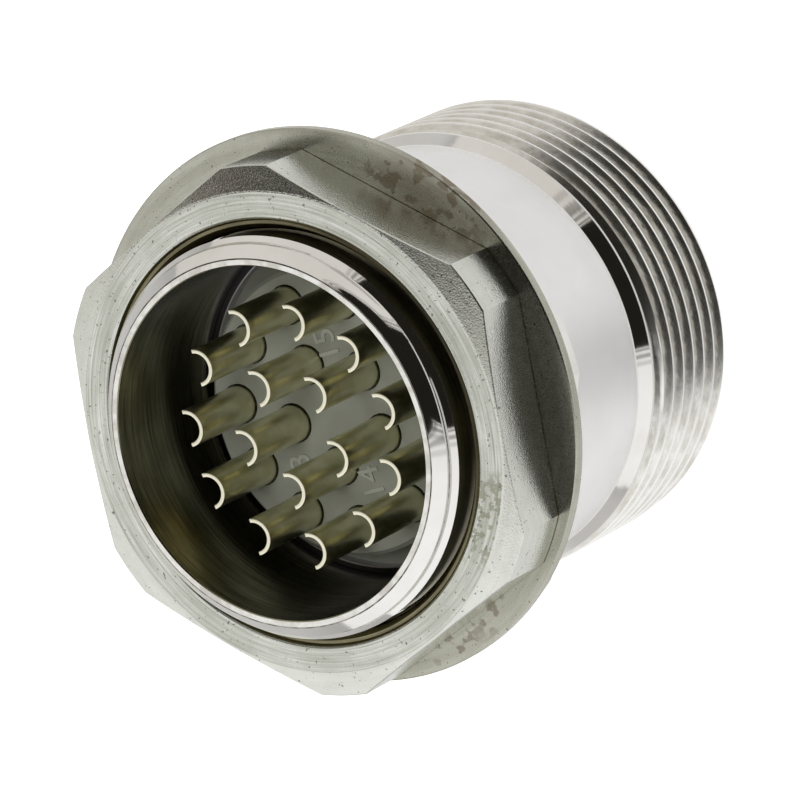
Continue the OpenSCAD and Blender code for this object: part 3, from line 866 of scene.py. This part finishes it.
def contact_rings_tree():
    """Copies of one mesh on the contacts' two rings, each turned a little."""
    tree, given = geometry_tree("contact_rings", {
        "Outer count": "Int", "Outer radius": "Float", "Outer first": "Float",
        "Inner count": "Int", "Inner radius": "Float", "Inner first": "Float",
        "Unevenness": "Float", "Seed": "Int", "Material": "Material"})
    rings = add(tree, "GeometryNodeJoinGeometry")
    for side in ("Inner", "Outer"):
        points = add(tree, "GeometryNodePoints", {"Count": given[side + " count"]})
        index = add(tree, "GeometryNodeInputIndex")
        share = add(tree, MATH, {0: index, 1: given[side + " count"]}, operation="DIVIDE")
        angle = add(tree, MATH, {0: share, 1: 2 * math.pi, 2: given[side + " first"]},
                    operation="MULTIPLY_ADD")
        spot = [add(tree, MATH, {
                    0: add(tree, MATH, {0: angle}, operation=turn),
                    1: given[side + " radius"]}, operation="MULTIPLY")
                for turn in ("COSINE", "SINE")]
        placed = add(tree, "GeometryNodeSetPosition", {
            "Geometry": points,
            "Position": add(tree, "ShaderNodeCombineXYZ", dict(enumerate(spot)))})
        tree.links.new(placed.outputs[0], rings.inputs[0])
    spread = add(tree, MATH, {0: given["Unevenness"], 1: -1.0}, operation="MULTIPLY")
    twist = add(tree, "FunctionNodeRandomValue", {
        "Min_001": spread, "Max_001": given["Unevenness"], "Seed": given["Seed"]},
        data_type="FLOAT").outputs[1]
    copies = add(tree, "GeometryNodeInstanceOnPoints", {
        "Points": rings, "Instance": given["Geometry"],
        "Rotation": add(tree, "FunctionNodeEulerToRotation", {
            0: add(tree, "ShaderNodeCombineXYZ", {2: twist})})})
    return close_tree(tree, copies, given["Material"])


CONTACT_RINGS = contact_rings_tree()


def on_contact_rings(name, mesh, unevenness_deg, material):
    """A copy of the mesh at each contact, turned by up to the unevenness."""
    return grown(name, CONTACT_RINGS, {
        "Outer count": OUTER_COUNT, "Outer radius": OUTER_R * MM,
        "Outer first": math.radians(OUTER_FIRST_DEG),
        "Inner count": INNER_COUNT, "Inner radius": INNER_R * MM,
        "Inner first": math.radians(INNER_FIRST_DEG),
        "Unevenness": math.radians(unevenness_deg), "Seed": CONTACT_SEED,
        "Material": material}, mesh)


contacts = on_contact_rings("solder_contacts", solder_contact(GOLD), CONTACT_TWIST_DEG,
                            GOLD)


# ---------------------------------------------------------------- insert

def moulded_resin(name, light, shade):
    """Mineral-filled moulded resin: matte, with a faint grain.

    The mould's own grain, about 0.05 mm, is too fine to show, so it is drawn
    coarser.
    """
    material, tree = new_material(name)
    place = add(tree, "ShaderNodeTexCoord").outputs["Object"]
    grain = add(tree, "ShaderNodeTexNoise",
                {"Vector": place, "Scale": per_mm(GRAIN_SIZE), "Detail": 3.0})
    coat = add(tree, "ShaderNodeBsdfPrincipled", {
        "Base Color": add(tree, MIX, {
            "Factor_Float": blotches(tree, place, RESIN_CLOUD_SIZE, RESIN_CLOUD_RANGE),
            "A_Color": rgb(light), "B_Color": rgb(shade)}, data_type="RGBA"),
        "Roughness": add(tree, RANGE, {
            "Value": grain, "To Min": RESIN_ROUGHNESS[0], "To Max": RESIN_ROUGHNESS[1]}),
        "IOR": RESIN_IOR,
        "Normal": add(tree, "ShaderNodeBump", {
            "Strength": GRAIN_STRENGTH, "Distance": GRAIN_RELIEF * MM, "Height": grain})})
    add(tree, "ShaderNodeOutputMaterial", {"Surface": coat})
    return material


# Moulded insert resin: a matte grey-green that hardly shines.
RESIN = moulded_resin("resin_moulded_grey", "#a1a397", "#939588")
# The numbers' tops are rubbed paler than the face they stand on.
RUBBED = moulded_resin("resin_moulded_rubbed", "#b9bbb0", "#abada1")
for node, finish in (("insert_rear", RESIN), ("insert_front", RESIN),
                     ("retaining_ring", SPRING)):
    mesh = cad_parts[node].data
    mesh.materials.clear()
    mesh.materials.append(finish)


def raised_number(text, x, y, material):
    """A number on the boss face, read from the +X side."""
    curve = bpy.data.curves.new("number_" + text, "FONT")
    curve.body = text
    curve.size = NUMBER_SIZE * MM
    curve.align_x, curve.align_y = "CENTER", "CENTER"
    curve.extrude = NUMBER_RISE * MM
    curve.bevel_depth = NUMBER_EDGE * MM
    curve.resolution_u = 3
    obj = evaluated(new_object("number_" + text, curve), "number_" + text)
    place = Vector((x, y, BOSS_FACE_Z + NUMBER_LIFT)) * MM
    obj.data.transform(Matrix.Translation(place) @ Matrix.Rotation(math.pi / 2, 4, "Z"))
    obj.data.materials.clear()
    obj.data.materials.append(material)
    return obj


numbers = [raised_number(text, *spot, RUBBED) for text, spot in NUMBERS.items()]
numbers = join(numbers[0], *numbers[1:])
numbers.name = "contact_numbers"

# The resin closes in on each cup and leaves a thin dark gap.
lip_z = (BOSS_FACE_Z - CUP_LIP_T, BOSS_FACE_Z - CUP_LIP_SINK)
lip = turned("cup_lip", [
    (CUP_R + CUP_LIP_GAP, lip_z[1], RESIN),
    (DIMPLE_R + CUP_LIP_LAP, lip_z[1], RESIN),
    (DIMPLE_R + CUP_LIP_LAP, lip_z[0], RESIN),
    (CUP_R + CUP_LIP_GAP, lip_z[0], RESIN),
], column_angles(step=LIP_STEP_DEG), MOULDED_EDGE)
lip_mesh = lip.data
bpy.data.objects.remove(lip)
lips = on_contact_rings("cup_lips", lip_mesh, 0, RESIN)


# ---------------------------------------------------------------- stage

CAMERA_PLACE = (172.6356, 26.4385, 230.8030)
CAMERA_RIGHT = (0.78178179, -0.32072621, -0.53474473)
CAMERA_UP = (0.20810894, 0.94261081, -0.26110442)
CAMERA_BACK = (0.5877992, 0.09284153, 0.80366197)
SENSOR, LENS = 36.0, 270.0
CLIP_M = (0.01, 10.0)

camera = new_object("camera", bpy.data.cameras.new("camera"))
camera.data.sensor_fit = "HORIZONTAL"
camera.data.sensor_width = SENSOR
camera.data.lens = LENS
camera.data.clip_start, camera.data.clip_end = CLIP_M
camera.matrix_world = Matrix.Translation(Vector(CAMERA_PLACE) * MM) \
    @ Matrix((CAMERA_RIGHT, CAMERA_UP, CAMERA_BACK)).transposed().to_4x4()
SCENE.camera = camera


def seen_direction(right, up, back):
    """A direction told as the photographer sees it, in the part's frame."""
    return (Vector(CAMERA_RIGHT) * right + Vector(CAMERA_UP) * up
            + Vector(CAMERA_BACK) * back).normalized()


# A white table: bright to the eye, and in the metal near the part, and it keeps
# the shadow.
GLOW_TO_EYE, GLOW_IN_METAL = 0.8, 0.3
GLOW_REACH = (24.0, 50.0)
# A grey patch beside the part, a painted shadow seen only in the metal: the body mirrors it
# as a soft darker band.
SHADOW_PATCH_PLACE, SHADOW_PATCH_REACH = (17.9, -5.9), (1.0, 9.0)
TABLE_HALF, TABLE_DROP = 900.0, 0.02
table_z = cad_box[0].z / MM - TABLE_DROP
table_material, tree = new_material("table_white_card")
card = add(tree, "ShaderNodeBsdfPrincipled", {
    "Base Color": rgb("#e6e6e6"), "Roughness": 0.9})
path = add(tree, "ShaderNodeLightPath").outputs
shown = add(tree, MATH, {0: path["Is Glossy Ray"], 1: path["Is Transmission Ray"]},
            operation="MAXIMUM")
place = add(tree, "ShaderNodeTexCoord").outputs["Object"]
away = add(tree, VECTOR, {0: place}, operation="LENGTH").outputs["Value"]
fading = add(tree, RANGE, {
    "Value": away, "From Min": GLOW_REACH[0] * MM, "From Max": GLOW_REACH[1] * MM,
    "To Min": GLOW_IN_METAL, "To Max": 0.0}, interpolation_type="SMOOTHSTEP")
# The painted shadow patch dims the table's glow in the metal.
from_shadow_patch = add(tree, VECTOR, {0: place, 1: [c * MM for c in (*SHADOW_PATCH_PLACE, table_z)]},
            operation="DISTANCE").outputs["Value"]
fading = add(tree, MATH, {0: fading, 1: add(tree, RANGE, {
    "Value": from_shadow_patch, "From Min": SHADOW_PATCH_REACH[0] * MM, "From Max": SHADOW_PATCH_REACH[1] * MM},
    interpolation_type="SMOOTHSTEP")}, operation="MULTIPLY")
glow = add(tree, MATH, {0: shown, 1: fading}, operation="MULTIPLY")
glow = add(tree, MATH, {0: path["Is Camera Ray"], 1: GLOW_TO_EYE, 2: glow},
           operation="MULTIPLY_ADD")
lit = add(tree, "ShaderNodeAddShader", {
    0: card, 1: add(tree, "ShaderNodeEmission", {"Strength": glow})})
add(tree, "ShaderNodeOutputMaterial", {"Surface": add(tree, "ShaderNodeMixShader", {
    0: add(tree, "ShaderNodeNewGeometry").outputs["Backfacing"],
    1: lit, 2: add(tree, "ShaderNodeBsdfTransparent")})})

mesh = bpy.data.meshes.new("table")
mesh.from_pydata([(x * TABLE_HALF * MM, y * TABLE_HALF * MM, table_z * MM)
                  for x, y in ((-1, -1), (1, -1), (1, 1), (-1, 1))], [], [(0, 1, 2, 3)])
mesh.materials.append(table_material)
table = new_object("table", mesh)

# A light tent that is open and dark towards the photographer. Directions are told
# as the photographer sees them: right, up and back towards the camera.
TENT_SHADE, TENT_WHITE, TENT_FADE = "#dddbd6", "#ffffff", (-0.3, 0.8)
OPENING_TONE, OPENING_EDGE = "#201e1a", 0.08
OPENINGS = (((-0.22, -0.10, 0.97), 0.815), ((0.55, 0.21, 0.81), 0.876),
            ((-0.02, 0.33, 0.94), 0.875))
# Stripes across an opening's edge: a place, and the share of dark there.
STRIPES = ((0.16, 0.0), (0.2, 0.3), (0.27, 0.3), (0.29, 0.0), (0.34, 0.0), (0.36, 0.6),
           (0.43, 0.6), (0.45, 0.0), (0.5, 0.0), (0.52, 0.85), (0.54, 0.85), (0.55, 0.1),
           (0.57, 0.1), (0.59, 1.0))
# Two darker folds at the far left, and a pale window over the solder side.
FOLDS = (((-0.965, -0.01, 0.26), "#70665e"), ((-0.88, -0.01, 0.475), "#26221d"),
         ((-0.50, -0.40, 0.77), "#d2d0ca"))
FOLD_EDGE = (0.965, 0.985)
world = bpy.data.worlds.new("light_tent")
world.use_nodes = True
SCENE.world = world
tree = world.node_tree
tree.nodes.clear()
direction = add(tree, "ShaderNodeTexCoord").outputs["Generated"]


def dark_opening(axis, edge):
    """Share of dark of a round opening in the tent, with stripes at its edge."""
    near = add(tree, VECTOR, {0: direction, 1: seen_direction(*axis)},
               operation="DOT_PRODUCT").outputs["Value"]
    ramp = add(tree, "ShaderNodeValToRGB", {0: add(tree, RANGE, {
        "Value": near, "From Min": edge - OPENING_EDGE, "From Max": edge + OPENING_EDGE})})
    elements = ramp.color_ramp.elements
    while len(elements) < len(STRIPES):
        elements.new(0.5)
    for element, (position, dark) in zip(elements, STRIPES):
        element.position = position
        element.color = (dark, dark, dark, 1)
    return ramp


below = add(tree, VECTOR, {0: direction, 1: seen_direction(0, -1, 0)},
            operation="DOT_PRODUCT").outputs["Value"]
tent = add(tree, MIX, {
    "Factor_Float": add(tree, RANGE, {
        "Value": below, "From Min": TENT_FADE[0], "From Max": TENT_FADE[1]},
        interpolation_type="SMOOTHSTEP"),
    "A_Color": rgb(TENT_SHADE), "B_Color": rgb(TENT_WHITE)}, data_type="RGBA")
for axis, edge in OPENINGS:
    tent = add(tree, MIX, {
        "Factor_Float": dark_opening(axis, edge),
        "A_Color": tent, "B_Color": rgb(OPENING_TONE)}, data_type="RGBA")
for axis, shade in FOLDS:
    near = add(tree, VECTOR, {0: direction, 1: seen_direction(*axis)},
               operation="DOT_PRODUCT").outputs["Value"]
    tent = add(tree, MIX, {
        "Factor_Float": add(tree, RANGE, {
            "Value": near, "From Min": FOLD_EDGE[0], "From Max": FOLD_EDGE[1]},
            interpolation_type="SMOOTHSTEP"),
        "A_Color": tent, "B_Color": rgb(shade)}, data_type="RGBA")
tent_light = add(tree, "ShaderNodeBackground", {"Color": tent, "Strength": 1.0})
white = add(tree, "ShaderNodeBackground", {"Color": rgb(TENT_WHITE), "Strength": 1.0})
add(tree, "ShaderNodeOutputWorld", {"Surface": add(tree, "ShaderNodeMixShader", {
    0: add(tree, "ShaderNodeLightPath").outputs["Is Camera Ray"],
    1: tent_light, 2: white})})

# A soft lamp above the solder side, kept out of the metal's reflections.
LAMP_DISTANCE, LAMP_SIZE, LAMP_POWER = 350.0, 180.0, 0.42
LAMP_SIDE = (0.3, 0.25, 0.92)
light = bpy.data.lights.new("soft_lamp", "AREA")
light.shape, light.size, light.energy = "DISK", LAMP_SIZE * MM, LAMP_POWER
lamp = new_object("soft_lamp", light)
lamp_side = Vector(LAMP_SIDE).normalized()
lamp.location = lamp_side * LAMP_DISTANCE * MM
lamp.rotation_mode = "QUATERNION"
lamp.rotation_quaternion = lamp_side.to_track_quat("Z", "Y")
lamp.visible_glossy = False

SCENE.view_settings.view_transform = "Standard"


# ---------------------------------------------------------------- the frame

CONTACT_NODES = ["contact_%02d" % n for n in range(1, OUTER_COUNT + INNER_COUNT + 1)]
for piece, body, slot, nodes in (
        (shell, "shell_body", "bright_nickel", ["shell"]),
        (coupling_thread, "shell_body", "bright_nickel", []),
        (nut_thread, "shell_body", "bright_nickel", []),
        (contacts, "shell_body", "pale_gold", CONTACT_NODES),
        (numbers, "shell_body", "grey_resin", []),
        (lips, "shell_body", "grey_resin", []),
        (nut, "nut_body", "satin_nickel", ["nut"]),
        (nut_inner_thread, "nut_body", "satin_nickel", []),
        (washer, "washer_body", "dull_nickel", ["washer"])):
    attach(piece, body)
    if nodes:
        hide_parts(*nodes)
